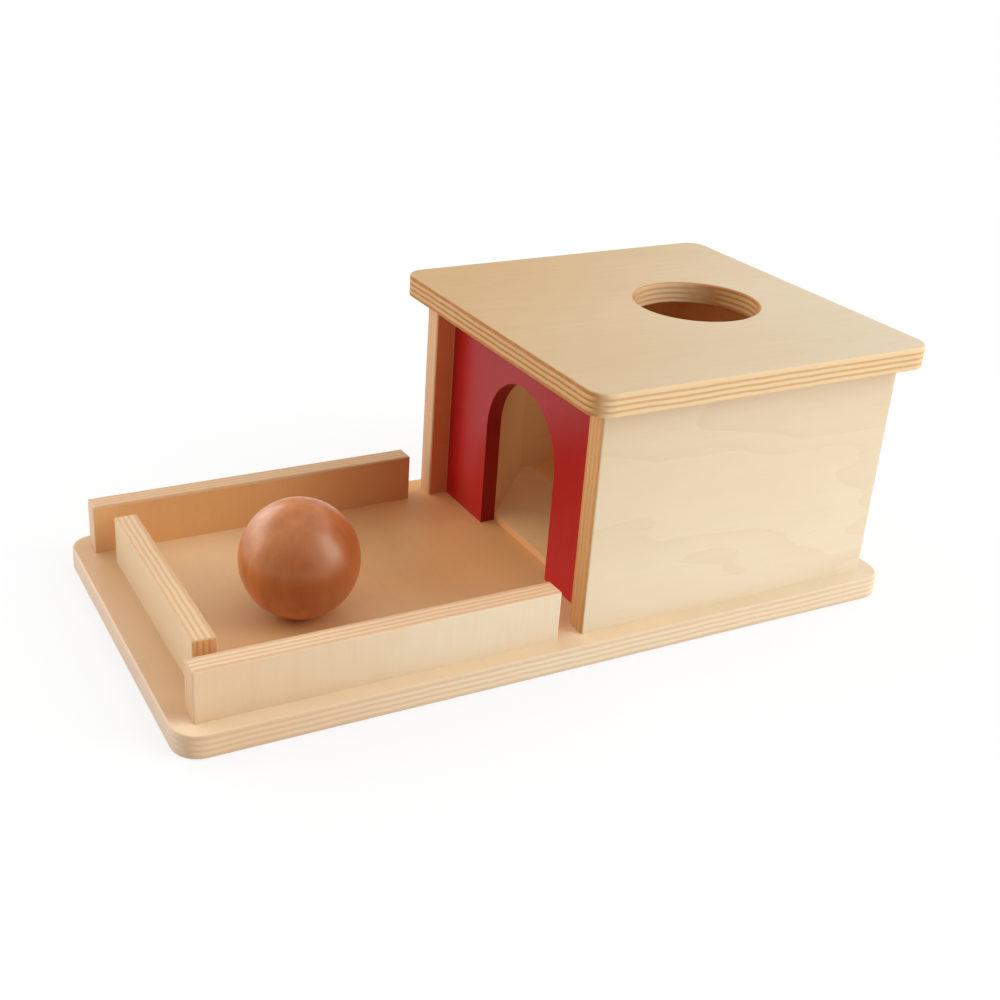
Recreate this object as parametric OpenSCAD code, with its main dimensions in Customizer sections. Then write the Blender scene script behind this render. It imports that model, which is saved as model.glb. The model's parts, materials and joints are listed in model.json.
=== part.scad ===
// Object permanence box: a wooden toy on one base board. A ball dropped through the round hole in
// the lid lands on a sloped ramp, is steered by two guide boards to the arch in the red front panel
// and rolls out into a low-railed tray.
// Millimetres. +X runs from the tray end to the box end, +Z is up. The origin is under the middle of
// the base board, on the surface that it stands on.

/* [Boards] */
// Thickness of the plywood used for the base, the walls, the back and the lid
board_t = 9; // [6:0.5:12]
// Radius that eases the edges a hand can reach
edge_r = 0.8; // [0.4:0.1:1.2]

/* [Base] */
// Length of the base board
base_l = 296; // [270:1:340]
// Width of the base board
base_w = 150; // [140:1:180]
// Corner radius of the base board in plan
base_corner_r = 10; // [4:0.5:20]

/* [Box] */
// Length of the two side walls
wall_l = 132; // [115:1:150]
// Height of the side walls, the front panel and the back
wall_h = 89; // [80:1:110]
// Distance from the base's long edges to the outer faces of the side walls
box_side_inset = 7.5; // [3:0.5:12]
// Distance from the base's back edge to the back edges of the side walls
box_back_inset = 8.5; // [3:0.5:20]

/* [Front panel] */
// Thickness of the red front panel
panel_t = 6.5; // [4:0.5:9]
// How far the front panel stands back from the front edges of the side walls
panel_recess = 8.5; // [4:0.5:16]
// Depth of the grooves in the side walls that house the front panel's edges
housing_d = 3; // [1.5:0.5:4.5]
// Room on each side of the ball in the arch
arch_clear = 4; // [2:0.5:8]
// Room between the ball and the crown of the arch
arch_head = 26; // [10:0.5:32]

/* [Lid] */
// Overhang of the lid in front of the side walls
lid_over_front = 8.5; // [2:0.5:14]
// Overhang of the lid behind the side walls
lid_over_back = 8.5; // [2:0.5:14]
// Overhang of the lid beside each side wall
lid_over_side = 7.5; // [2:0.5:14]
// Corner radius of the lid in plan
lid_corner_r = 8; // [4:0.5:20]
// Room around the ball in the lid's hole
hole_clear = 2.5; // [1.5:0.5:5]
// Distance from the walls' back edges to the centre of the lid's hole
hole_from_back = 46; // [42:1:60]

/* [Ramp and guides] */
// Thickness of the ramp board
ramp_t = 3; // [2:0.5:6]
// Rise of the ramp from the front panel to the back
ramp_rise = 9; // [5:0.5:18]
// Width of the batten under the back of the ramp
batten_w = 12; // [6:0.5:20]
// Thickness of the two guide boards
guide_t = 4; // [3:0.5:6]
// Height of the guide boards' top edges above the base board
guide_h = 62; // [50:1:75]
// Angle between a guide board and the long side of the box
guide_angle = 45; // [40:1:55]
// How far the guide boards stand outside the arch's jambs
guide_setback = 0.5; // [0:0.5:3]

/* [Tray rails] */
// Height of the two side rails
side_rail_h = 20; // [14:0.5:28]
// Thickness of the two side rails
side_rail_t = 9; // [6:0.5:10]
// Distance from the base's long edges to the outer faces of the side rails
side_rail_inset = 7.5; // [4:0.5:12]
// Distance from the tray end of the base to the side rails
side_rail_start = 7.5; // [3:0.5:12]
// Gap between the side rails and the side walls
side_rail_gap = 10; // [4:0.5:20]
// Height of the end rail
end_rail_h = 19.5; // [14:0.5:28]
// Thickness of the end rail
end_rail_t = 9; // [6:0.5:10]
// Distance from the tray end of the base to the end rail
end_rail_start = 13.3; // [6:0.1:20]
// Gap between the end rail and each side rail
end_rail_gap = 9.5; // [3:0.5:20]

/* [Ball] */
// Diameter of the ball
ball_d = 45; // [38:0.5:48]
// Distance from the end rail to the ball
ball_end_gap = 20.7; // [10:0.1:60]
// Distance from the near side rail to the ball
ball_side_gap = 22.2; // [10:0.1:50]
// Air left under the ball
ball_lift = 0.3; // [0.1:0.1:0.5]

/* [Dowels] */
// Diameter of the hidden dowels
dowel_d = 4; // [3:0.5:4.5]
// How far a dowel enters the face of a board
dowel_in_face = 5; // [3:0.5:5]
// How far a dowel enters the edge of a board
dowel_in_edge = 12; // [8:0.5:12]
// Glue space around a dowel and past its ends
glue_gap = 0.1; // [0.05:0.05:0.2]
// Distance from the ends of a side wall to its outer dowels
wall_dowel_end = 26; // [22:1:40]
// Distance between the two dowels that stand in the back's lower or upper edge
back_dowel_spread = 70; // [40:1:90]
// Distance from the top and bottom of the back to the dowels in its ends
back_dowel_end = 25; // [20:1:35]
// Distance from the ends of a rail to its outer dowels
rail_dowel_end = 15; // [8:1:30]

/* [Hidden] */
$fn = 64;

birch = "#E2CAA2";
inner_birch = "#D2AE80";
red_paint = "#A8201E";
stained_wood = "#B46438";
dowel_wood = "#D9BE94";

near = -1;
far = 1;
cut = 1;

tray_end = -base_l / 2;
back_end = base_l / 2;
base_top = board_t;
wall_top = base_top + wall_h;

wall_x1 = back_end - box_back_inset;
wall_x0 = wall_x1 - wall_l;
wall_x = (wall_x0 + wall_x1) / 2;
wall_outer = base_w / 2 - box_side_inset;
wall_inner = wall_outer - board_t;
wall_y = (wall_outer + wall_inner) / 2;

panel_x0 = wall_x0 + panel_recess;
panel_x1 = panel_x0 + panel_t;
back_x0 = wall_x1 - board_t;
back_x = (back_x0 + wall_x1) / 2;

arch_w = ball_d + 2 * arch_clear;
arch_spring = ball_d + arch_head - arch_w / 2;

lid_l = lid_over_front + wall_l + lid_over_back;
lid_w = 2 * (wall_outer + lid_over_side);
lid_x = (wall_x0 - lid_over_front + wall_x1 + lid_over_back) / 2;
hole_r = ball_d / 2 + hole_clear;
hole_x = wall_x1 - hole_from_back;

ramp_run = back_x0 - panel_x1;
ramp_slope = ramp_rise / ramp_run;
ramp_depth = ramp_t * sqrt(1 + ramp_slope * ramp_slope);

side_rail_x0 = tray_end + side_rail_start;
side_rail_x1 = wall_x0 - side_rail_gap;
side_rail_l = side_rail_x1 - side_rail_x0;
side_rail_x = (side_rail_x0 + side_rail_x1) / 2;
side_rail_inner = base_w / 2 - side_rail_inset - side_rail_t;
side_rail_y = side_rail_inner + side_rail_t / 2;
end_rail_x = tray_end + end_rail_start + end_rail_t / 2;
end_rail_inner = end_rail_x + end_rail_t / 2;
end_rail_l = 2 * (side_rail_inner - end_rail_gap);

ball_x = end_rail_inner + ball_end_gap + ball_d / 2;
ball_y = -side_rail_inner + ball_side_gap + ball_d / 2;
ball_z = base_top + ball_lift + ball_d / 2;

wall_dowel_x = [wall_x0 + wall_dowel_end, wall_x, wall_x1 - wall_dowel_end];
back_dowel_y = [-back_dowel_spread / 2, back_dowel_spread / 2];
back_dowel_z = [base_top + back_dowel_end, wall_top - back_dowel_end];
side_rail_dowel_x = [side_rail_x0 + rail_dowel_end, side_rail_x, side_rail_x1 - rail_dowel_end];
end_rail_dowel_y = [rail_dowel_end - end_rail_l / 2, end_rail_l / 2 - rail_dowel_end];

// Height of the ramp's underside above the ground at a place along the box
function ramp_under(x) = base_top + ramp_slope * (x - panel_x1);

// Height of the ramp's upper face above the ground at a place along the box
function ramp_over(x) = ramp_under(x) + ramp_depth;

// Rectangle with eased corners, centred
module eased_rect(w, h) {
    square([w - 2 * edge_r, h], center = true);
    square([w, h - 2 * edge_r], center = true);
    for (sx = [-1, 1], sy = [-1, 1])
        translate([sx * (w / 2 - edge_r), sy * (h / 2 - edge_r)])
            circle(r = edge_r);
}

// Half section of a round plate with eased rims, to be turned about its axis
module eased_half(r, t) {
    translate([0, -t / 2])
        square([r - edge_r, t]);
    translate([0, edge_r - t / 2])
        square([r, t - 2 * edge_r]);
    for (s = [-1, 1])
        translate([r - edge_r, s * (t / 2 - edge_r)])
            circle(r = edge_r);
}

// Board lying flat with round corners and eased edges, centred in plan, underside at zero
module eased_board(l, w, t, corner_r) {
    translate([0, 0, t / 2]) {
        rotate([90, 0, 90])
            linear_extrude(l - 2 * corner_r, center = true)
                eased_rect(w, t);
        rotate([90, 0, 0])
            linear_extrude(w - 2 * corner_r, center = true)
                eased_rect(l, t);
        for (corner = [[1, 1, 0], [-1, 1, 90], [-1, -1, 180], [1, -1, 270]])
            translate([corner[0] * (l / 2 - corner_r), corner[1] * (w / 2 - corner_r), 0])
                rotate([0, 0, corner[2]])
                    rotate_extrude(angle = 90)
                        eased_half(corner_r, t);
    }
}

// Strip standing on its square-cut lower edge, with its other edges eased
module rail(l, t, h) {
    intersection() {
        linear_extrude(h)
            eased_rect(l, t);
        rotate([90, 0, 90])
            linear_extrude(l, center = true)
                eased_rect(t, 2 * h);
        rotate([90, 0, 0])
            linear_extrude(t, center = true)
                eased_rect(l, 2 * h);
    }
}

// Dowel standing across a joint at zero, with its long end in the upper piece
module dowel() {
    translate([0, 0, -dowel_in_face])
        cylinder(d = dowel_d, h = dowel_in_face + dowel_in_edge);
}

// Drilled hole that takes a dowel and its glue
module dowel_hole() {
    translate([0, 0, -dowel_in_face - glue_gap])
        cylinder(d = dowel_d + 2 * glue_gap, h = dowel_in_face + dowel_in_edge + 2 * glue_gap);
}

// Places the children at the dowels between the base and the side walls
module at_wall_dowels() {
    for (side = [near, far], x = wall_dowel_x)
        translate([x, side * wall_y, base_top])
            children();
}

// Places the children at the dowels that hold the back to the base and to the side walls
module at_back_dowels() {
    for (y = back_dowel_y)
        translate([back_x, y, base_top])
            children();
    for (side = [near, far], z = back_dowel_z)
        translate([back_x, side * wall_inner, z])
            rotate([side * 90, 0, 0])
                children();
}

// Places the children at the dowels between the lid and what carries it
module at_lid_dowels() {
    for (side = [near, far], x = wall_dowel_x)
        translate([x, side * wall_y, wall_top])
            rotate([180, 0, 0])
                children();
    for (y = back_dowel_y)
        translate([back_x, y, wall_top])
            rotate([180, 0, 0])
                children();
}

// Places the children at the dowels under the side rails
module at_side_rail_dowels() {
    for (side = [near, far], x = side_rail_dowel_x)
        translate([x, side * side_rail_y, base_top])
            children();
}

// Places the children at the dowels under the end rail
module at_end_rail_dowels() {
    for (y = end_rail_dowel_y)
        translate([end_rail_x, y, base_top])
            children();
}

// Base board that carries everything, drilled from above for the dowels
module base_board() {
    color(birch)
        difference() {
            eased_board(base_l, base_w, board_t, base_corner_r);
            at_wall_dowels() dowel_hole();
            at_back_dowels() dowel_hole();
            at_side_rail_dowels() dowel_hole();
            at_end_rail_dowels() dowel_hole();
        }
}

// Side wall with eased upright edges, grooved on its inner face for the front panel
module side_wall(side) {
    color(birch)
        difference() {
            translate([wall_x, side * wall_y, base_top])
                linear_extrude(wall_h)
                    eased_rect(wall_l, board_t);
            panel_blank();
            at_wall_dowels() dowel_hole();
            at_back_dowels() dowel_hole();
            at_lid_dowels() dowel_hole();
        }
}

module near_wall() {
    side_wall(near);
}

module far_wall() {
    side_wall(far);
}

// Front panel before the arch is cut, reaching into the grooves of the side walls
module panel_blank() {
    panel_w = 2 * (wall_inner + housing_d);
    translate([panel_x0, -panel_w / 2, base_top])
        cube([panel_t, panel_w, wall_h]);
}

// Arch outline: straight jambs under a half round, standing on the base
module arch_outline() {
    translate([-arch_w / 2, -cut])
        square([arch_w, arch_spring + cut]);
    translate([0, arch_spring])
        circle(d = arch_w);
}

// Red front panel with the arch that lets the ball out
module front_panel() {
    color(red_paint)
        difference() {
            panel_blank();
            translate([panel_x0 - cut, 0, base_top])
                rotate([90, 0, 90])
                    linear_extrude(panel_t + 2 * cut)
                        arch_outline();
        }
}

// Plain back between the side walls, flush with their back edges
module back_panel() {
    color(birch)
        difference() {
            translate([back_x0, -wall_inner, base_top])
                cube([board_t, 2 * wall_inner, wall_h]);
            at_back_dowels() dowel_hole();
            at_lid_dowels() dowel_hole();
        }
}

// Section of the lid's round hole with eased rims, to be turned about the hole's axis
module hole_half() {
    difference() {
        translate([0, -cut])
            square([hole_r + edge_r, board_t + 2 * cut]);
        translate([hole_r + edge_r, edge_r])
            circle(r = edge_r);
        translate([hole_r + edge_r, board_t - edge_r])
            circle(r = edge_r);
        translate([hole_r, edge_r])
            square([2 * edge_r, board_t - 2 * edge_r]);
    }
}

// Lid that overhangs the walls, with the round hole set towards the back
module lid_board() {
    color(birch)
        difference() {
            translate([lid_x, 0, wall_top])
                eased_board(lid_l, lid_w, board_t, lid_corner_r);
            translate([hole_x, 0, wall_top])
                rotate_extrude()
                    hole_half();
            at_lid_dowels() dowel_hole();
        }
}

// Slab between the side walls with a given outline seen from the near side
module across_box(outline) {
    rotate([90, 0, 0])
        linear_extrude(2 * wall_inner, center = true)
            polygon(outline);
}

// Thin sloped floor from the arch up to the back
module ramp_board() {
    color(inner_birch)
        across_box([
            [panel_x1, ramp_under(panel_x1)],
            [back_x0, ramp_under(back_x0)],
            [back_x0, ramp_over(back_x0)],
            [panel_x1, ramp_over(panel_x1)]
        ]);
}

// Batten against the back, bevelled on top to carry the ramp
module ramp_batten() {
    batten_x = back_x0 - batten_w;
    color(inner_birch)
        across_box([
            [batten_x, base_top],
            [back_x0, base_top],
            [back_x0, ramp_under(back_x0)],
            [batten_x, ramp_under(batten_x)]
        ]);
}

// Upright guide board, mitred to the panel and the wall and cut to the slope of the ramp
module guide(side) {
    jamb_y = arch_w / 2 + guide_setback;
    reach_x = panel_x1 + (wall_inner - jamb_y) / tan(guide_angle);
    color(inner_birch)
        difference() {
            linear_extrude(base_top + guide_h)
                polygon([
                    [panel_x1, side * jamb_y],
                    [reach_x, side * wall_inner],
                    [reach_x - guide_t / sin(guide_angle), side * wall_inner],
                    [panel_x1, side * (jamb_y + guide_t / cos(guide_angle))]
                ]);
            across_box([
                [panel_x1 - cut, -cut],
                [back_x0, -cut],
                [back_x0, ramp_over(back_x0)],
                [panel_x1 - cut, ramp_over(panel_x1 - cut)]
            ]);
        }
}

module near_guide() {
    guide(near);
}

module far_guide() {
    guide(far);
}

// Side rail of the tray
module side_rail(side) {
    color(birch)
        difference() {
            translate([side_rail_x, side * side_rail_y, base_top])
                rail(side_rail_l, side_rail_t, side_rail_h);
            at_side_rail_dowels() dowel_hole();
        }
}

module near_rail() {
    side_rail(near);
}

module far_rail() {
    side_rail(far);
}

// End rail of the tray, standing clear of the side rails
module end_rail() {
    color(birch)
        difference() {
            translate([end_rail_x, 0, base_top])
                rotate([0, 0, 90])
                    rail(end_rail_l, end_rail_t, end_rail_h);
            at_end_rail_dowels() dowel_hole();
        }
}

// Turned wooden ball, loose in the tray
module ball() {
    color(stained_wood)
        translate([ball_x, ball_y, ball_z])
            sphere(d = ball_d);
}

module wall_dowels() {
    color(dowel_wood)
        at_wall_dowels() dowel();
}

module back_dowels() {
    color(dowel_wood)
        at_back_dowels() dowel();
}

module lid_dowels() {
    color(dowel_wood)
        at_lid_dowels() dowel();
}

module side_rail_dowels() {
    color(dowel_wood)
        at_side_rail_dowels() dowel();
}

module end_rail_dowels() {
    color(dowel_wood)
        at_end_rail_dowels() dowel();
}

base_board();
near_wall();
far_wall();
front_panel();
back_panel();
lid_board();
ramp_board();
ramp_batten();
near_guide();
far_guide();
near_rail();
far_rail();
end_rail();
ball();
wall_dowels();
back_dowels();
lid_dowels();
side_rail_dowels();
end_rail_dowels();
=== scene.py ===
# %% [markdown]
# # A wooden ball-drop box
# The object is a baby's toy: a plywood box on a base board, with a round hole in its lid, a red
# front panel with an arch, and a tray with low rails for the ball that rolls out. Its boards are
# already built and placed by the CAD model, so this lesson is about finishes: we load the boards
# as a fixed frame, dress each one in the wood or paint of the real toy, light them and look at
# them from the place where the photograph was taken.

# %% Load the boards
import json
import math

import bpy
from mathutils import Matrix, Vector


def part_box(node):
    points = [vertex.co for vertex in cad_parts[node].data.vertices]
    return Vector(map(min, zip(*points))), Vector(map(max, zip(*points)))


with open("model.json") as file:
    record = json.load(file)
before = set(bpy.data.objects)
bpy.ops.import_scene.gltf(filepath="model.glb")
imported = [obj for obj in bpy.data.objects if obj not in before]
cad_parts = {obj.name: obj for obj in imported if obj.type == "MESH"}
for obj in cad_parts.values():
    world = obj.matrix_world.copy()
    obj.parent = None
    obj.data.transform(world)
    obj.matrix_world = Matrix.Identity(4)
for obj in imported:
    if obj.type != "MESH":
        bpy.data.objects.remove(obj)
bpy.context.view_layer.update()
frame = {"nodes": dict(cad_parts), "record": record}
boards = frame["nodes"]

# %% [markdown]
# ## The camera
# A render can only be compared with a photograph if both are taken from one place. The photograph's
# place was worked out from the edges of the boards, whose real sizes are known: a fair guess can be
# turned by hand until the edges meet, but solving for it is surer. The photograph was cropped, so
# the lens axis doesn't run through the middle of the picture. Blender calls that a shift.

# %% Place the camera
CAMERA_PLACE = (-0.24937, -0.43164, 0.27615)
CAMERA_TURN = (64.748, -2.231, -25.703)
LENS_MM = 50.197
SENSOR_MM = 36
LENS_SHIFT = (0.09017, -0.01928)

view = bpy.data.cameras.new("photo_view")
view.sensor_width = SENSOR_MM
view.lens = LENS_MM
view.shift_x, view.shift_y = LENS_SHIFT
camera = bpy.data.objects.new("photo_view", view)
camera.location = CAMERA_PLACE
camera.rotation_euler = [math.radians(turn) for turn in CAMERA_TURN]
bpy.context.scene.collection.objects.link(camera)
bpy.context.scene.camera = camera
bpy.context.scene.view_settings.view_transform = "Standard"

# %% [markdown]
# ## A small tool for node trees
# Every finish here is a tree of shader nodes. They could be wired by hand in the shader editor, and
# that is the best way to try one out. Written down, each node takes several lines, so these helpers
# place one node, set its options and plug in its inputs in a single call.

# %% Helpers that place nodes
def put(tree, kind, inputs=None, **options):
    """Places one shader node. An input is a plain value or the output of another node."""
    node = tree.nodes.new("ShaderNode" + kind)
    for name, value in options.items():
        setattr(node, name, value)
    for key, value in (inputs or {}).items():
        if isinstance(value, bpy.types.NodeSocket):
            tree.links.new(value, node.inputs[key])
        else:
            node.inputs[key].default_value = value
    return node


def calc(tree, operation, *values, clamp=False):
    """One step of arithmetic on numbers."""
    node = put(tree, "Math", dict(enumerate(values)), operation=operation, use_clamp=clamp)
    return node.outputs[0]


def calc_vector(tree, operation, *values):
    """One step of arithmetic on vectors; a dot product comes out as a number."""
    node = put(tree, "VectorMath", dict(enumerate(values)), operation=operation)
    return node.outputs["Value" if operation == "DOT_PRODUCT" else "Vector"]


def remap(tree, value, low, high, new_low=0.0, new_high=1.0, smooth=False):
    """Stretches the stretch of a value from low to high over a new one."""
    inputs = {"Value": value, "From Min": low, "From Max": high, "To Min": new_low, "To Max": new_high}
    kind = "SMOOTHSTEP" if smooth else "LINEAR"
    return put(tree, "MapRange", inputs, interpolation_type=kind).outputs["Result"]


MIX_FACTOR, MIX_A, MIX_B, MIX_RESULT = 0, 6, 7, 2


def mix(tree, factor, first, second, blend="MIX"):
    """Blends two colours by a factor."""
    inputs = {MIX_FACTOR: factor, MIX_A: first, MIX_B: second}
    return put(tree, "Mix", inputs, data_type="RGBA", blend_type=blend).outputs[MIX_RESULT]


def new_group(name, inputs, outputs):
    """An empty node group with named sockets, and the two nodes that stand for them inside."""
    group = bpy.data.node_groups.new(name, "ShaderNodeTree")
    for label, kind in inputs.items():
        group.interface.new_socket(label, in_out="INPUT", socket_type="NodeSocket" + kind)
    for label, kind in outputs.items():
        group.interface.new_socket(label, in_out="OUTPUT", socket_type="NodeSocket" + kind)
    entry = group.nodes.new("NodeGroupInput").outputs
    leave = group.nodes.new("NodeGroupOutput").inputs
    return group, entry, leave


def use_group(tree, group, inputs):
    """Places a finished group in a tree and gives its outputs."""
    return put(tree, "Group", inputs, node_tree=group).outputs


def rgb(red, green, blue):
    """A colour as it looks on screen, from 0 to 255, turned into the light that Blender reckons with."""
    def light(level):
        share = level / 255
        return share / 12.92 if share <= 0.04045 else ((share + 0.055) / 1.055) ** 2.4
    return (light(red), light(green), light(blue), 1.0)


print("node helpers are ready")

# %% [markdown]
# ## Wood fibres
# All wood shows fine streaks that run along its grain. An image could be laid over each board, but
# then the streaks would stop at every edge. Noise that is worked out in space runs through the whole
# board as real fibres do: it is stretched along the grain, so it shows as streaks on a long side
# and as fine dots where the wood is cut across.

# %% Group: fibres
def make_fibres():
    group, entry, leave = new_group(
        "fibres",
        {"Grain": "Vector", "Across": "Float", "Stretch": "Float", "Shift": "Float"},
        {"Streak": "Float"},
    )
    place = put(group, "TexCoord").outputs["Object"]
    along = calc(group, "SUBTRACT", calc(group, "DIVIDE", 1.0, entry["Stretch"]), 1.0)
    squeeze = calc_vector(group, "SCALE", entry["Grain"])
    group.links.new(along, squeeze.node.inputs["Scale"])
    squeeze = calc_vector(group, "ADD", squeeze, (1, 1, 1))
    place = calc_vector(group, "MULTIPLY", place, squeeze)
    place = calc_vector(group, "ADD", place, entry["Shift"])
    noise = put(group, "TexNoise", {"Vector": place, "Scale": entry["Across"], "Detail": 3.0})
    streak = remap(group, noise.outputs["Fac"], 0.3, 0.7)
    group.links.new(streak, leave["Streak"])
    return group


FIBRES = make_fibres()
print("made group", FIBRES.name)

# %% [markdown]
# ## Veneer figure
# The faces of birch plywood are peeled from the log in one long sheet, so the yearly rings come out
# as soft flames and wandering contours, barely darker than the rest. Contours are easy to get from
# noise: cut a smooth hilly noise into steps, like the height lines on a map, and let each step start
# light and end dark. A second, slower noise makes whole patches warmer or paler.

# %% Group: veneer figure
FLAME_STEPS = 5.0
FLAME_SHARPNESS = 2.2
FLAME_WOBBLE = 0.035


def make_figure():
    group, entry, leave = new_group(
        "veneer figure",
        {"Grain": "Vector", "Shift": "Float"},
        {"Flame": "Float", "Patch": "Float", "Fleck": "Float"},
    )
    hills = use_group(group, FIBRES, {
        "Grain": entry["Grain"], "Across": 13.0, "Stretch": 3.2, "Shift": entry["Shift"],
    })["Streak"]
    wobble = use_group(group, FIBRES, {
        "Grain": entry["Grain"], "Across": 160.0, "Stretch": 9.0, "Shift": entry["Shift"],
    })["Streak"]
    height = calc(group, "MULTIPLY_ADD", wobble, FLAME_WOBBLE, hills)
    step = calc(group, "FRACT", calc(group, "MULTIPLY", height, FLAME_STEPS))
    flame = calc(group, "POWER", step, FLAME_SHARPNESS)
    elsewhere = calc(group, "ADD", entry["Shift"], 5.0)
    patch = use_group(group, FIBRES, {
        "Grain": entry["Grain"], "Across": 6.0, "Stretch": 1.6, "Shift": elsewhere,
    })["Streak"]
    dashes = use_group(group, FIBRES, {
        "Grain": entry["Grain"], "Across": 900.0, "Stretch": 14.0, "Shift": entry["Shift"],
    })["Streak"]
    fleck = remap(group, dashes, 0.74, 0.92, smooth=True)
    group.links.new(flame, leave["Flame"])
    group.links.new(patch, leave["Patch"])
    group.links.new(fleck, leave["Fleck"])
    return group


FIGURE = make_figure()
print("made group", FIGURE.name)

# %% [markdown]
# ## Plies
# A sawn edge of plywood shows its layers. On this toy they are about 1.1 mm each, and the two outer
# veneers take up the rest of the board. Each layer's grain is turned a quarter from the next, so on
# one edge every other layer is cut across its fibres and looks dark, and on the edge round the corner
# the dark and light layers change places. Stripes could be painted on each edge. Counting layers from
# the middle of the board by a cosine, and asking which way the surface faces, gives every edge, every
# round corner and the wall of the hole its right stripes at once.

# %% Group: plies
PLY = 0.0011
PLY_WANDER = 0.00022
PLIES_TO_VENEER = 3


def make_plies():
    group, entry, leave = new_group(
        "plies",
        {"Across Board": "Vector", "Middle": "Float", "Face Grain": "Vector", "Cross Grain": "Vector"},
        {"Best Side": "Float", "Edge": "Float", "Cut Across": "Float", "Cross Ply": "Float", "Glue": "Float"},
    )
    coords = put(group, "TexCoord").outputs
    height = calc_vector(group, "DOT_PRODUCT", coords["Object"], entry["Across Board"])
    height = calc(group, "SUBTRACT", height, entry["Middle"])
    best_side = calc(group, "GREATER_THAN", height, 0.0)
    wander = put(group, "TexNoise", {"Vector": coords["Object"], "Scale": 55.0, "Detail": 2.0})
    wander = remap(group, wander.outputs["Fac"], 0.3, 0.7, -PLY_WANDER, PLY_WANDER)
    depth = calc(group, "ABSOLUTE", calc(group, "ADD", height, wander))
    depth = calc(group, "MINIMUM", depth, PLIES_TO_VENEER * PLY)
    wave = calc(group, "COSINE", calc(group, "MULTIPLY", depth, math.pi / PLY))
    cross_ply = remap(group, wave, 0.0, 0.6, smooth=True)
    face_ply = remap(group, wave, 0.0, -0.6, smooth=True)
    glue = remap(group, calc(group, "ABSOLUTE", wave), 0.0, 0.4, 1.0, 0.0, smooth=True)

    facing = calc_vector(group, "DOT_PRODUCT", coords["Normal"], entry["Across Board"])
    edge = remap(group, calc(group, "ABSOLUTE", facing), 0.80, 0.99, 1.0, 0.0, smooth=True)
    cuts = []
    for grain in ("Face Grain", "Cross Grain"):
        cut = calc_vector(group, "DOT_PRODUCT", coords["Normal"], entry[grain])
        cuts.append(remap(group, calc(group, "ABSOLUTE", cut), 0.3, 0.75, smooth=True))
    cut_across = calc(group, "MULTIPLY", face_ply, cuts[0])
    cut_across = calc(group, "MULTIPLY_ADD", cross_ply, cuts[1], cut_across)
    cut_across = calc(group, "MAXIMUM", cut_across, calc(group, "MULTIPLY", cuts[0], cuts[1]))
    for label, value in {
        "Best Side": best_side, "Edge": edge, "Cut Across": cut_across, "Cross Ply": cross_ply, "Glue": glue,
    }.items():
        group.links.new(value, leave[label])
    return group


PLIES = make_plies()
print("made group", PLIES.name)

# %% [markdown]
# ## Plywood
# Now the three groups come together. On a face we see the outer veneer with its flames, flecks and
# streaks; on an edge we see the plies. A board has a better face and a plainer, warmer back, and the
# maker turns the better one outwards, so the group takes tones for both. It gives a colour, a
# roughness and a height for the bump, and every board of the toy uses it with its own grain.

# %% Group: plywood
PATCH_SHARE = 0.80
FIBRE_SHARE = 0.09
FLECK_SHARE = 0.10
EDGE_FIBRE_SHARE = 0.4
GLUE_SHARE = 0.15
GLUE_GROOVE = -1.2
FACE_GLOSS = (0.42, 0.52)
EDGE_DULLNESS = 0.10


def make_plywood():
    laying = {"Across Board": "Vector", "Middle": "Float", "Face Grain": "Vector", "Cross Grain": "Vector"}
    tones = ("Pale", "Warm", "Back Pale", "Back Warm", "Long Cut", "End Cut")
    group, entry, leave = new_group(
        "plywood",
        {**laying, "Shift": "Float", "Figure": "Float", **{tone: "Color" for tone in tones}},
        {"Color": "Color", "Roughness": "Float", "Height": "Float"},
    )
    plies = use_group(group, PLIES, {name: entry[name] for name in laying})
    figure = use_group(group, FIGURE, {"Grain": entry["Face Grain"], "Shift": entry["Shift"]})
    face_fibres, cross_fibres = (
        use_group(group, FIBRES, {
            "Grain": entry[grain], "Across": 520.0, "Stretch": 40.0, "Shift": entry["Shift"],
        })["Streak"]
        for grain in ("Face Grain", "Cross Grain")
    )

    tone = calc(group, "MULTIPLY", figure["Flame"], entry["Figure"])
    tone = calc(group, "MULTIPLY_ADD", figure["Patch"], PATCH_SHARE, tone)
    tone = calc(group, "MULTIPLY_ADD", face_fibres, FIBRE_SHARE, tone)
    pale = mix(group, plies["Best Side"], entry["Back Pale"], entry["Pale"])
    warm = mix(group, plies["Best Side"], entry["Back Warm"], entry["Warm"])
    face = mix(group, tone, pale, warm)
    fleck = calc(group, "MULTIPLY", figure["Fleck"], FLECK_SHARE)
    face = mix(group, fleck, face, entry["End Cut"])

    fibres = put(group, "Mix", {0: plies["Cross Ply"], 2: face_fibres, 3: cross_fibres}).outputs[0]
    cut = calc(group, "MULTIPLY_ADD", fibres, EDGE_FIBRE_SHARE, plies["Cut Across"])
    cut = calc(group, "SUBTRACT", cut, EDGE_FIBRE_SHARE / 2, clamp=True)
    edge = mix(group, cut, entry["Long Cut"], entry["End Cut"])
    glue = calc(group, "MULTIPLY", plies["Glue"], GLUE_SHARE)
    edge = mix(group, glue, edge, entry["End Cut"])
    group.links.new(mix(group, plies["Edge"], face, edge), leave["Color"])

    rough = remap(group, face_fibres, 0.0, 1.0, *FACE_GLOSS)
    rough = calc(group, "MULTIPLY_ADD", plies["Edge"], EDGE_DULLNESS, rough)
    group.links.new(rough, leave["Roughness"])
    relief = calc(group, "MULTIPLY", plies["Edge"], plies["Glue"])
    relief = calc(group, "MULTIPLY_ADD", relief, GLUE_GROOVE, fibres)
    group.links.new(relief, leave["Height"])
    return group


PLYWOOD = make_plywood()
print("made group", PLYWOOD.name)

# %% [markdown]
# ## Dressing the boards
# Each board gets a material of its own, because its grain runs its own way and real boards differ in
# tone. The material holds the shader itself: wood under a thin coat of satin lacquer. The middle of
# the layers is measured on the board, so nothing has to be typed in twice.

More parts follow.
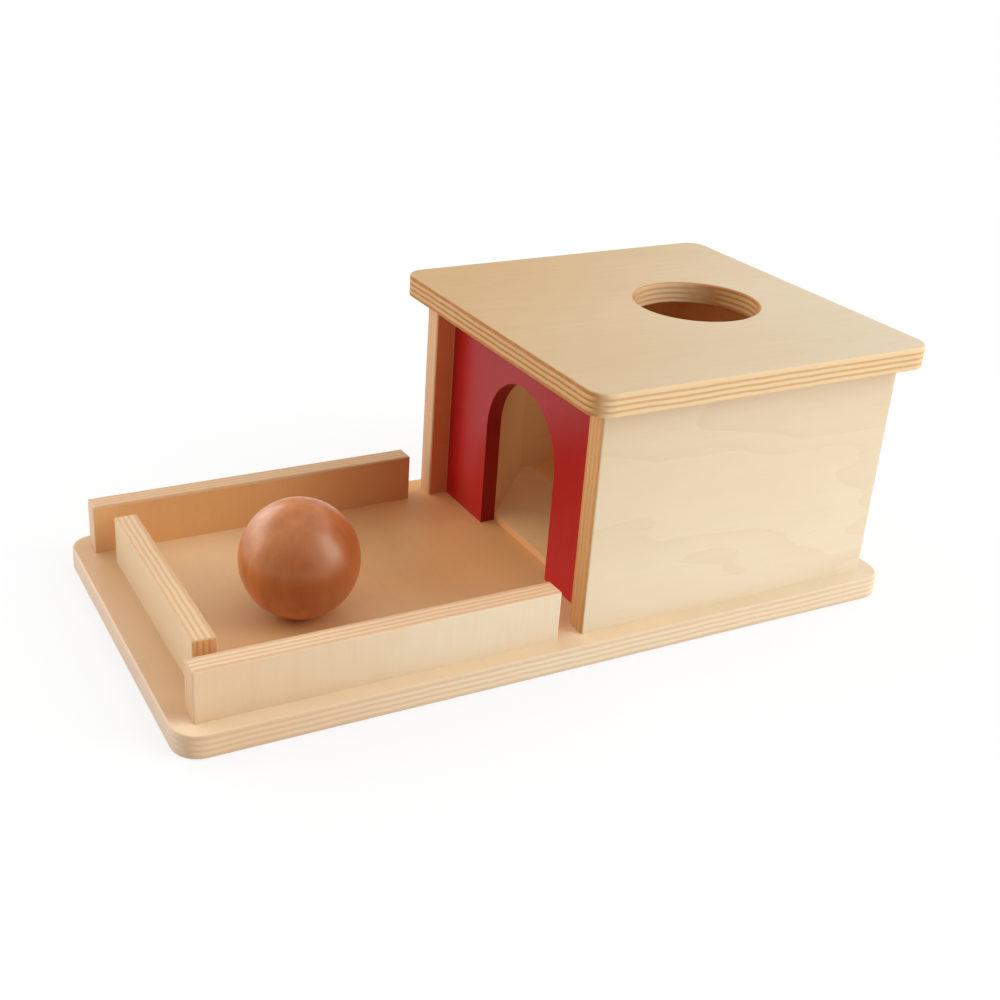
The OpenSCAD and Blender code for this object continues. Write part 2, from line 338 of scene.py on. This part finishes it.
# %% A material for one board
LEFT, RIGHT = (-1, 0, 0), (1, 0, 0)
NEAR, FAR = (0, -1, 0), (0, 1, 0)
UP = (0, 0, 1)
DIAGONAL = math.sqrt(0.5)
BUMP_DEPTH = 0.00006
WALL_FIGURE, PLAIN_FIGURE = 0.40, 0.10
SATIN = {"Coat_Weight": 0.2, "Coat_Roughness": 0.34, "IOR": 1.45}
DULL = {"Specular_IOR_Level": 0.12, "IOR": 1.45}


def new_material(name):
    material = bpy.data.materials.new(name)
    material.use_nodes = True
    material.node_tree.nodes.clear()
    return material, material.node_tree


def finish_surface(tree, color, roughness, height, **constants):
    """The shader at the end of a material: colour, gloss and relief, with plain numbers on its sockets."""
    bump = put(tree, "Bump", {"Height": height, "Distance": BUMP_DEPTH, "Strength": 0.35})
    inputs = {"Base Color": color, "Roughness": roughness, "Normal": bump.outputs["Normal"]}
    for label, value in constants.items():
        inputs[label.replace("_", " ")] = value
    shader = put(tree, "BsdfPrincipled", inputs)
    put(tree, "OutputMaterial", {"Surface": shader.outputs["BSDF"]})


def dress(node, material):
    """Gives a board its only material."""
    mesh = boards[node].data
    mesh.materials.clear()
    mesh.materials.append(material)


def reach_along(node, way):
    """Where a board starts and ends along a way."""
    reach = [vertex.co.dot(Vector(way)) for vertex in boards[node].data.vertices]
    return min(reach), max(reach)


def plywood_board(
    node, best_side, face_grain, cross_grain, shift, face, back, cuts,
    off_middle=0.0, figure=PLAIN_FIGURE, gloss=SATIN,
):
    """Dresses a board in plywood; each pair of tones is a pale and a warm, or a long and an end cut."""
    material, tree = new_material(node + "_plywood")
    wood = use_group(tree, PLYWOOD, {
        "Across Board": best_side, "Middle": sum(reach_along(node, best_side)) / 2 + off_middle,
        "Face Grain": face_grain, "Cross Grain": cross_grain, "Shift": shift, "Figure": figure,
        "Pale": face[0], "Warm": face[1], "Back Pale": back[0], "Back Warm": back[1],
        "Long Cut": cuts[0], "End Cut": cuts[1],
    })
    finish_surface(tree, wood["Color"], wood["Roughness"], wood["Height"], **gloss)
    dress(node, material)
    return tree, wood[0].node


print("board maker is ready")

# %% [markdown]
# ## Tones
# The tones were matched to the photograph under this lesson's light, because a board in the shade of
# the box looks browner than it is. They could be mixed by eye in the shader editor just as well. Sawn
# edges need two tones, one for layers that show their length and one for layers that show their end.
# The tray and the far rail's back are browner and more orange than the wood, as painted shade.

# %% Tones of the wood
BACK = (rgb(246, 203, 146), rgb(239, 190, 130))
LID_FACE = (rgb(205, 174, 133), rgb(194, 159, 114))
LID_CUTS = (rgb(218, 190, 148), rgb(198, 158, 112))
WALL_FACE = (rgb(208, 188, 156), rgb(199, 175, 139))
WALL_CUTS = (rgb(226, 190, 146), rgb(210, 168, 122))
RAIL_FACE = (rgb(223, 194, 158), rgb(211, 175, 134))
RAIL_CUTS = (rgb(228, 196, 156), rgb(212, 172, 130))
END_RAIL_FACE = (rgb(231, 205, 166), rgb(219, 186, 142))
END_RAIL_CUTS = (rgb(221, 187, 146), rgb(208, 165, 119))
FAR_RAIL_CUTS = (rgb(214, 176, 134), rgb(203, 160, 116))
# painted shade: the tray and the far rail's back, which face into the tray, are browner and more orange than
# the wood
FAR_RAIL_SHADED_BACK = (rgb(242, 195, 133), rgb(230, 177, 115))
TRAY_SHADED = (rgb(218, 166, 108), rgb(206, 148, 88))
BASE_CUTS = (rgb(221, 188, 151), rgb(210, 175, 138))
print("tones mixed")

# %% [markdown]
# ## The outer boards
# Eight boards show from outside. For each we say which way its better face looks, which way the grain of
# the face and of the layer below it runs, and its tones. The last number moves the middle of the layers a
# little: a rail is sanded more on one face than on the other, so its layers are seldom quite central.
# Each board also takes its own stretch of the noise, so that no two of them have the same figure. All
# have the same satin lacquer except the lid, which is handled most and looks duller.

# %% Dress the outer boards
OUTER_BOARDS = {
    "base_board": (UP, FAR, RIGHT, TRAY_SHADED, BACK, BASE_CUTS, 0.0),
    "near_wall": (NEAR, RIGHT, UP, WALL_FACE, BACK, WALL_CUTS, 0.0),
    "far_wall": (FAR, RIGHT, UP, WALL_FACE, BACK, WALL_CUTS, 0.0),
    "back_panel": (RIGHT, FAR, UP, WALL_FACE, BACK, WALL_CUTS, 0.0),
    "lid_board": (UP, RIGHT, FAR, LID_FACE, BACK, LID_CUTS, 0.0),
    "near_rail": (NEAR, UP, RIGHT, RAIL_FACE, TRAY_SHADED, RAIL_CUTS, 0.00035),
    "far_rail": (FAR, UP, RIGHT, RAIL_FACE, FAR_RAIL_SHADED_BACK, FAR_RAIL_CUTS, -0.00015),
    "end_rail": (LEFT, UP, FAR, END_RAIL_FACE, TRAY_SHADED, END_RAIL_CUTS, 0.0004),
}
BOARD_SHIFT = 1.37
trees = {}
for count, (node, laying) in enumerate(OUTER_BOARDS.items()):
    best_side, face_grain, cross_grain, face, back, cuts, off_middle = laying
    figure = WALL_FIGURE if face == WALL_FACE else PLAIN_FIGURE
    gloss = DULL if node == "lid_board" else SATIN
    trees[node] = plywood_board(
        node, best_side, face_grain, cross_grain, BOARD_SHIFT * count, face, back, cuts,
        off_middle, figure, gloss,
    )
    print(node, "has its best side towards", best_side)

# %% [markdown]
# ## Slow changes of tone
# No board is the same all over: heartwood turns into paler sapwood, and an end that was sawn across
# drinks more lacquer and stays darker. Each such change is a mask, which runs from zero to one along a
# way across the board, or which is one on its ends. Colours are inputs of the plywood group, so a mask
# can blend other tones in from outside, one change after the other.

# %% Masks and blends
FACE_SIDE, BACK_SIDE, SAWN = ("Pale", "Warm"), ("Back Pale", "Back Warm"), ("Long Cut", "End Cut")


def across_board(node, way, start, end):
    """A mask that grows from zero to one between two places along a way."""
    tree = trees[node][0]
    place = put(tree, "TexCoord").outputs["Object"]
    return remap(tree, calc_vector(tree, "DOT_PRODUCT", place, way), start, end, smooth=True)


def on_ends(node, length):
    """A mask that is one on the ends of a board."""
    tree = trees[node][0]
    facing = calc_vector(tree, "DOT_PRODUCT", put(tree, "TexCoord").outputs["Normal"], length)
    return remap(tree, calc(tree, "ABSOLUTE", facing), 0.6, 0.9, smooth=True)


def retone(node, labels, mask, tones):
    """Blends a pair of tones into a board where the mask says so."""
    tree, wood = trees[node]
    for label, tone in zip(labels, tones):
        socket = wood.inputs[label]
        before = socket.links[0].from_socket if socket.is_linked else tuple(socket.default_value)
        tree.links.new(mix(tree, mask, before, tone), socket)
    print(node, "changes", labels[0])


# %% [markdown]
# ## Lid and walls
# The lid is paler towards the near right corner: that is a painted sheen, where the light on the right
# glances off the lacquer. The walls are darker at the top as painted shade under the lid's overhang, and
# paler downwards. Ends that were sawn across the board get browner cuts. In front of the red panel a narrow
# strip of each wall's back faces the paint and looks red-brown, more than the bounced light makes it, so its
# tone adds painted red bounce light and shade.

# %% Lid and walls
LIP_BLUR = 0.001
LID_PAINTED_SHEEN = (rgb(214, 200, 175), rgb(204, 186, 157))
LID_END_CUTS = (rgb(205, 166, 114), rgb(180, 120, 66))
WALL_LIT_LOW = (rgb(226, 211, 184), rgb(217, 197, 165))
WALL_END_CUTS = (rgb(208, 158, 98), rgb(196, 142, 82))
FAR_WALL_END_CUTS = (rgb(214, 168, 120), rgb(206, 157, 108))
LIP_RED_BOUNCE_SHADE = (rgb(222, 138, 88), rgb(214, 128, 78))

across_lid = (DIAGONAL, -DIAGONAL, 0)
# painted sheen: the lid turns paler towards the near right corner
lid_sheen_mask = across_board("lid_board", across_lid, *reach_along("lid_board", across_lid))
retone("lid_board", FACE_SIDE, lid_sheen_mask, LID_PAINTED_SHEEN)
retone("lid_board", SAWN, on_ends("lid_board", RIGHT), LID_END_CUTS)
# painted red bounce light and shade on the strip of each wall's back in front of the red panel
lip_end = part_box("front_panel")[0][0]
down_wall = (0.25, 0, -0.97)
# painted shade: each wall is darker under the lid and lighter downwards
for node in ("near_wall", "far_wall"):
    retone(node, FACE_SIDE, across_board(node, down_wall, *reach_along(node, down_wall)), WALL_LIT_LOW)
    lip_bounce_mask = across_board(node, RIGHT, lip_end + LIP_BLUR, lip_end - LIP_BLUR)
    retone(node, BACK_SIDE, lip_bounce_mask, LIP_RED_BOUNCE_SHADE)
retone("near_wall", SAWN, on_ends("near_wall", RIGHT), WALL_END_CUTS)
retone("far_wall", SAWN, on_ends("far_wall", RIGHT), FAR_WALL_END_CUTS)

# %% [markdown]
# ## Rim of the hole
# The eased rim of the hole is darkened to a thin brown ring. A separate ring could be modelled, but it
# would only be a stripe of colour. A mask that is measured from the middle of the hole, which the record
# gives, lies exactly on the eased edge.

# %% Rim of the hole
RIM_TONE = rgb(190, 128, 72)
RIM_SHARE = 0.8
RIM_FULL, RIM_FADES, RIM_ENDS = 0.0002, 0.0005, 0.0009


def darken_rim():
    tree, wood = trees["lid_board"]
    hole = next(mount for mount in frame["record"]["mounts"] if mount["name"] == "lid_hole")
    radius = hole["dims"]["r_mm"] / 1000
    away = calc_vector(tree, "SUBTRACT", put(tree, "TexCoord").outputs["Object"], tuple(hole["pos_m"]))
    away = calc_vector(tree, "MULTIPLY", away, (1, 1, 0))
    distance = put(tree, "VectorMath", {0: away}, operation="LENGTH").outputs["Value"]
    start = remap(tree, distance, radius, radius + RIM_FULL)
    stop = remap(tree, distance, radius + RIM_FADES, radius + RIM_ENDS, 1.0, 0.0)
    rim = calc(tree, "MULTIPLY", calc(tree, "MULTIPLY", start, stop), RIM_SHARE)
    socket = wood.outputs["Color"].links[0].to_socket
    tree.links.new(mix(tree, rim, wood.outputs["Color"], RIM_TONE), socket)
    print("rim of", 1000 * radius, "mm darkened")


darken_rim()

# %% [markdown]
# ## Base and rails
# The base is one big sheet, and its colour changes most, as painted light and shade: the tray takes a browner
# painted shade, its far left corner and its near half a paler painted light, the floor by the box a brown
# painted shadow of the box, and the strips along the near side and at the right end, which the lamps reach, a
# paler painted light. The changes are listed in order, each with its way, the places where it starts and is
# full, and its tones, and a later one lies over those before it. The rails get paler towards the box, and the
# far rail's back takes a browner painted shade of the box near its end.

# %% Base and rails
TRAY_LIT_CORNER = (rgb(243, 209, 161), rgb(234, 194, 143))
TRAY_BOX_SHADOW = (rgb(235, 180, 118), rgb(222, 160, 96))
TRAY_NEAR_LIT = (rgb(229, 194, 146), rgb(219, 180, 130))
BASE_NEAR_LIT = (rgb(236, 213, 180), rgb(227, 199, 162))
BASE_RIGHT_LIT = (rgb(224, 209, 181), rgb(216, 198, 165))
BASE_LEFT = (rgb(218, 179, 136), rgb(206, 162, 116))
BASE_PALE_CUTS = (rgb(226, 204, 172), rgb(211, 186, 153))
BASE_END_CUTS = (rgb(224, 196, 168), rgb(217, 186, 158))
RAIL_PALE = (rgb(229, 215, 188), rgb(217, 196, 163))
RAIL_END_CUTS = (rgb(222, 180, 138), rgb(214, 170, 128))
END_RAIL_END_CUTS = (rgb(214, 166, 110), rgb(196, 142, 86))
FAR_RAIL_BOX_SHADE = (rgb(218, 157, 99), rgb(208, 143, 85))

LIT_CORNER_STARTS, LIT_CORNER_FULL = 0.045, 0.105
RIGHT_LIT_STARTS, RIGHT_LIT_FULL = 0.07, 0.11
BOX_SHADOW_WIDTH = 0.03
RAIL_PALE_SHORT_OF_END = 0.04
RAIL_SHADE_LENGTH = 0.07

rail_low, rail_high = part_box("near_rail")
stop_low, stop_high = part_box("end_rail")
panel_low, panel_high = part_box("back_panel")
far_left = (-DIAGONAL, DIAGONAL, 0)
near_right = (DIAGONAL, -DIAGONAL, 0)
# painted light and shade on the base: lit far left corner, shadow by the box, lit near half and lit strips
base_light_and_shade = [
    (far_left, LIT_CORNER_STARTS, LIT_CORNER_FULL, TRAY_LIT_CORNER),
    (RIGHT, rail_high[0] - BOX_SHADOW_WIDTH, rail_high[0], TRAY_BOX_SHADOW),
    (NEAR, 0.0, -rail_high[1], TRAY_NEAR_LIT),
    (RIGHT, stop_high[0], stop_low[0], BASE_LEFT),
    (FAR, rail_high[1], rail_low[1], BASE_NEAR_LIT),
    (near_right, RIGHT_LIT_STARTS, RIGHT_LIT_FULL, BASE_RIGHT_LIT),
    (RIGHT, panel_low[0], panel_high[0], BASE_RIGHT_LIT),
]
for way, start, end, tones in base_light_and_shade:
    retone("base_board", FACE_SIDE, across_board("base_board", way, start, end), tones)
paler_cuts = across_board("base_board", RIGHT, rail_low[0], rail_high[0])
retone("base_board", SAWN, paler_cuts, BASE_PALE_CUTS)
retone("base_board", SAWN, on_ends("base_board", RIGHT), BASE_END_CUTS)
for node in ("near_rail", "far_rail"):
    paler = across_board(node, RIGHT, rail_low[0], rail_high[0] - RAIL_PALE_SHORT_OF_END)
    retone(node, FACE_SIDE, paler, RAIL_PALE)
    retone(node, SAWN, on_ends(node, RIGHT), RAIL_END_CUTS)
# painted shade of the box on the far rail's back, near its end
box_shade_mask = across_board("far_rail", RIGHT, rail_high[0] - RAIL_SHADE_LENGTH, rail_high[0])
retone("far_rail", BACK_SIDE, box_shade_mask, FAR_RAIL_BOX_SHADE)
retone("end_rail", SAWN, on_ends("end_rail", FAR), END_RAIL_END_CUTS)

# %% [markdown]
# ## The inner boards
# Inside the box a thin ramp on a batten lets the ball roll out, and two guides steer it to the arch. Makers
# use plainer, warmer veneer where it hardly shows. The same board maker serves here, with one pair of tones
# for the ramp and the plain back tones for the guides.

# %% Dress the inner boards
INNER_SHIFT = 20
RAMP_FACE = (rgb(250, 190, 118), rgb(243, 178, 106))
RAMP_CUTS = (rgb(236, 180, 118), rgb(222, 162, 98))
INNER_BOARDS = {
    "ramp_board": (UP, FAR, RIGHT),
    "ramp_batten": (UP, FAR, RIGHT),
    "near_guide": ((DIAGONAL, DIAGONAL, 0), UP, RIGHT),
    "far_guide": ((DIAGONAL, -DIAGONAL, 0), UP, RIGHT),
}
for count, (node, (best_side, face_grain, cross_grain)) in enumerate(INNER_BOARDS.items()):
    face = RAMP_FACE if node.startswith("ramp") else BACK
    shift = INNER_SHIFT + BOARD_SHIFT * count
    plywood_board(node, best_side, face_grain, cross_grain, shift, face, BACK, RAMP_CUTS)
    print(node, "dressed")

# %% [markdown]
# ## Red paint
# The front panel is painted in a satin red. A flat red would look like plastic, so the paint is a
# little uneven, as a roller leaves it, and the wood's grain shows through as a faint relief. The red is
# darker towards the top, as painted shade under the lid, and lighter towards the bottom, as painted light
# thrown up from the tray. It is also darker on the panel's sawn rim and the rim of the arch.

# %% Paint the front panel
# painted shade and light: the red darkens from the bounce-lit bottom to the shaded top under the lid
RED_LOW_BOUNCE_LIT, RED_HIGH_SHADED = rgb(198, 28, 24), rgb(164, 22, 21)
RED_RIM, RED_GRAIN = rgb(150, 30, 22), rgb(150, 12, 12)
CLOUD_SHARE = 0.3
GRAIN_SHARE = 0.15
PAINT_GLOSS = (0.28, 0.36)


def paint_panel():
    material, tree = new_material("front_panel_red_paint")
    grain = use_group(tree, FIBRES, {"Grain": UP, "Across": 260.0, "Stretch": 30.0, "Shift": 3.0})
    stipple = use_group(tree, FIBRES, {"Grain": UP, "Across": 900.0, "Stretch": 1.0, "Shift": 7.0})
    cloud = use_group(tree, FIBRES, {"Grain": UP, "Across": 30.0, "Stretch": 2.0, "Shift": 1.0})
    height = put(tree, "SeparateXYZ", {0: put(tree, "TexCoord").outputs["Object"]}).outputs["Z"]
    panel_low, panel_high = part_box("front_panel")
    shade = remap(tree, height, panel_low[2], panel_high[2])
    shade = calc(tree, "MULTIPLY_ADD", cloud["Streak"], CLOUD_SHARE, shade)
    color = mix(tree, shade, RED_LOW_BOUNCE_LIT, RED_HIGH_SHADED)
    facing = calc_vector(tree, "DOT_PRODUCT", put(tree, "TexCoord").outputs["Normal"], RIGHT)
    rim = remap(tree, calc(tree, "ABSOLUTE", facing), 0.3, 0.7, 1.0, 0.0, smooth=True)
    color = mix(tree, rim, color, RED_RIM)
    color = mix(tree, calc(tree, "MULTIPLY", grain["Streak"], GRAIN_SHARE), color, RED_GRAIN)
    roughness = remap(tree, stipple["Streak"], 0.0, 1.0, *PAINT_GLOSS)
    relief = calc(tree, "MULTIPLY_ADD", grain["Streak"], 0.5, stipple["Streak"])
    finish_surface(tree, color, roughness, relief, Specular_IOR_Level=0.22)
    dress("front_panel", material)


paint_panel()
print("front panel painted")

# %% [markdown]
# ## The ball
# The ball is turned from solid wood, stained brown and varnished. Its grain stands upright, so it shows as
# streaks from pole to pole. It is darkened towards the front and the top, as painted shade. The gloss of
# stained wood is warm, not white, so the shader's own reflection takes a tint, and only a thin clear coat
# lies over it.

# %% Stain the ball
BALL_PALE, BALL_WARM = rgb(215, 132, 73), rgb(186, 107, 55)
# painted shade: the ball darkens towards the front
BALL_SHADE, BALL_STREAK = rgb(138, 68, 32), rgb(126, 60, 26)
BALL_SHADE_WAY = (0.22, -0.89, 0.41)
BALL_SHADE_SHARE = 0.66
STREAK_SHARE = 0.30
BALL_GLOSS = (0.30, 0.38)
WARM_GLOSS = (1.0, 0.88, 0.66, 1.0)


def stain_ball():
    material, tree = new_material("ball_stained_wood")
    low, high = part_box("ball")
    middle = (low + high) / 2
    place = calc_vector(tree, "SUBTRACT", put(tree, "TexCoord").outputs["Object"], tuple(middle))
    out = calc_vector(tree, "NORMALIZE", place)
    front_shade = remap(tree, calc_vector(tree, "DOT_PRODUCT", out, BALL_SHADE_WAY), 0.2, 1.0, smooth=True)
    broad = use_group(tree, FIBRES, {"Grain": UP, "Across": 70.0, "Stretch": 6.0, "Shift": 2.0})
    fine = use_group(tree, FIBRES, {"Grain": UP, "Across": 330.0, "Stretch": 16.0, "Shift": 4.0})
    color = mix(tree, broad["Streak"], BALL_PALE, BALL_WARM)
    color = mix(tree, calc(tree, "MULTIPLY", front_shade, BALL_SHADE_SHARE), color, BALL_SHADE)
    color = mix(tree, calc(tree, "MULTIPLY", fine["Streak"], STREAK_SHARE), color, BALL_STREAK)
    roughness = remap(tree, fine["Streak"], 0.0, 1.0, *BALL_GLOSS)
    finish_surface(
        tree, color, roughness, fine["Streak"],
        Coat_Weight=0.2, Coat_Roughness=0.30, Specular_IOR_Level=0.62, Specular_Tint=WARM_GLOSS,
    )
    dress("ball", material)


stain_ball()
print("ball stained")

# %% [markdown]
# ## Dowels
# The hidden dowels are raw, straight-grained wood, cut from one long rod. Nobody sees them in the finished
# toy, but the model can be taken apart, so they have a finish as well. One material serves them all.

# %% Dress the dowels
DOWEL_PALE, DOWEL_WARM = rgb(226, 200, 160), rgb(196, 160, 116)


def raw_dowels():
    material, tree = new_material("raw_dowel_wood")
    fibres = use_group(tree, FIBRES, {"Grain": UP, "Across": 600.0, "Stretch": 25.0, "Shift": 9.0})
    color = mix(tree, fibres["Streak"], DOWEL_PALE, DOWEL_WARM)
    roughness = remap(tree, fibres["Streak"], 0.0, 1.0, 0.6, 0.72)
    finish_surface(tree, color, roughness, fibres["Streak"], IOR=1.45)
    for node in boards:
        if node.endswith("_dowels"):
            dress(node, material)


raw_dowels()
print("dowels dressed")

# %% [markdown]
# ## The floor
# The photograph has a white ground with hardly a shadow. A floor that is lit until it turns white would
# need far too much light on the toy. So the floor shows plain white to the camera and keeps only part
# of its shading, while the light that it throws back stays that of a pale card.

# %% The floor
FLOOR_SIZE = 8.0
FLOOR_SHADE_NEAR, FLOOR_SHADE_FAR = 0.25, 0.75
FLOOR_WHITE_NEAR = 0.75
CARD = (0.86, 0.86, 0.86, 1)
WHITE = (1, 1, 1, 1)


def seen_directly(tree):
    """One where a ray comes straight from the camera, zero for light that bounces."""
    return put(tree, "LightPath").outputs["Is Camera Ray"]


def lay_floor():
    half = FLOOR_SIZE / 2
    mesh = bpy.data.meshes.new("floor")
    corners = [(-half, -half, 0), (half, -half, 0), (half, half, 0), (-half, half, 0)]
    mesh.from_pydata(corners, [], [(0, 1, 2, 3)])
    floor = bpy.data.objects.new("floor", mesh)
    bpy.context.scene.collection.objects.link(floor)
    material, tree = new_material("pale_floor")
    place = put(tree, "TexCoord").outputs["Object"]
    distance = put(tree, "VectorMath", {0: place}, operation="LENGTH").outputs["Value"]
    shade = (FLOOR_SHADE_NEAR, FLOOR_SHADE_FAR, FLOOR_WHITE_NEAR, 1.0)
    white = remap(tree, distance, *shade, smooth=True)
    white = calc(tree, "MULTIPLY", white, seen_directly(tree))
    card = put(tree, "BsdfDiffuse", {"Color": CARD}).outputs["BSDF"]
    glow = put(tree, "Emission", {"Color": WHITE, "Strength": 1.0}).outputs["Emission"]
    surface = put(tree, "MixShader", {0: white, 1: card, 2: glow}).outputs["Shader"]
    put(tree, "OutputMaterial", {"Surface": surface})
    mesh.materials.append(material)
    print("floor is", FLOOR_SIZE, "m wide")


lay_floor()

# %% [markdown]
# ## The tent
# Small products are often photographed in a tent of white cloth, each wall as bright as the lamps behind it
# make it, and dark on the side where the camera looks in. A world shader can be such a tent: each wall's
# light fades with the angle away from it. The camera itself sees plain white.

# %% The tent
TENT = {
    "left": (LEFT, 0.46),
    "right": (RIGHT, 1.75),
    "roof": (UP, 0.90),
}


def light_world():
    world = bpy.data.worlds.new("white_tent")
    bpy.context.scene.world = world
    world.use_nodes = True
    tree = world.node_tree
    tree.nodes.clear()
    way = put(tree, "TexCoord").outputs["Generated"]
    light = 0.0
    for side, (out, level) in TENT.items():
        share = calc(tree, "MAXIMUM", calc_vector(tree, "DOT_PRODUCT", way, out), 0.0)
        light = calc(tree, "MULTIPLY_ADD", calc(tree, "POWER", share, 2.0), level, light)
        print("tent", side, "shines at", level)
    light = calc(tree, "MAXIMUM", light, seen_directly(tree))
    room = put(tree, "Background", {"Color": WHITE, "Strength": light})
    put(tree, "OutputWorld", {"Surface": room.outputs["Background"]})


light_world()

# %% [markdown]
# ## Soft boxes
# The tent alone leaves everything flat. Three soft boxes add direction: one in front on the right, a narrow
# one beside it that makes the bright streak on the ball, and a large one behind on the left for the lid and
# the tray. Their strengths were found by rendering each lamp alone and adding them up.

# %% Soft boxes
def soft_box(name, place, aim, width, height, watts):
    lamp = bpy.data.lights.new(name, "AREA")
    lamp.shape = "RECTANGLE"
    lamp.size, lamp.size_y = width, height
    lamp.energy = watts
    box = bpy.data.objects.new(name, lamp)
    box.location = place
    box.rotation_euler = (Vector(aim) - Vector(place)).to_track_quat("-Z", "Y").to_euler()
    bpy.context.scene.collection.objects.link(box)
    print(name, "shines", watts, "W from", [round(share, 2) for share in place])


TOY_MIDDLE = (0.04, 0.0, 0.05)
soft_box("key_box", (0.45, -0.80, 0.45), TOY_MIDDLE, 1.2, 0.9, 3.1)
soft_box("strip_box", (0.66, -0.62, 0.58), TOY_MIDDLE, 0.5, 1.0, 4.8)
soft_box("back_left_box", (-0.80, 1.15, 0.60), TOY_MIDDLE, 2.2, 0.9, 19.0)
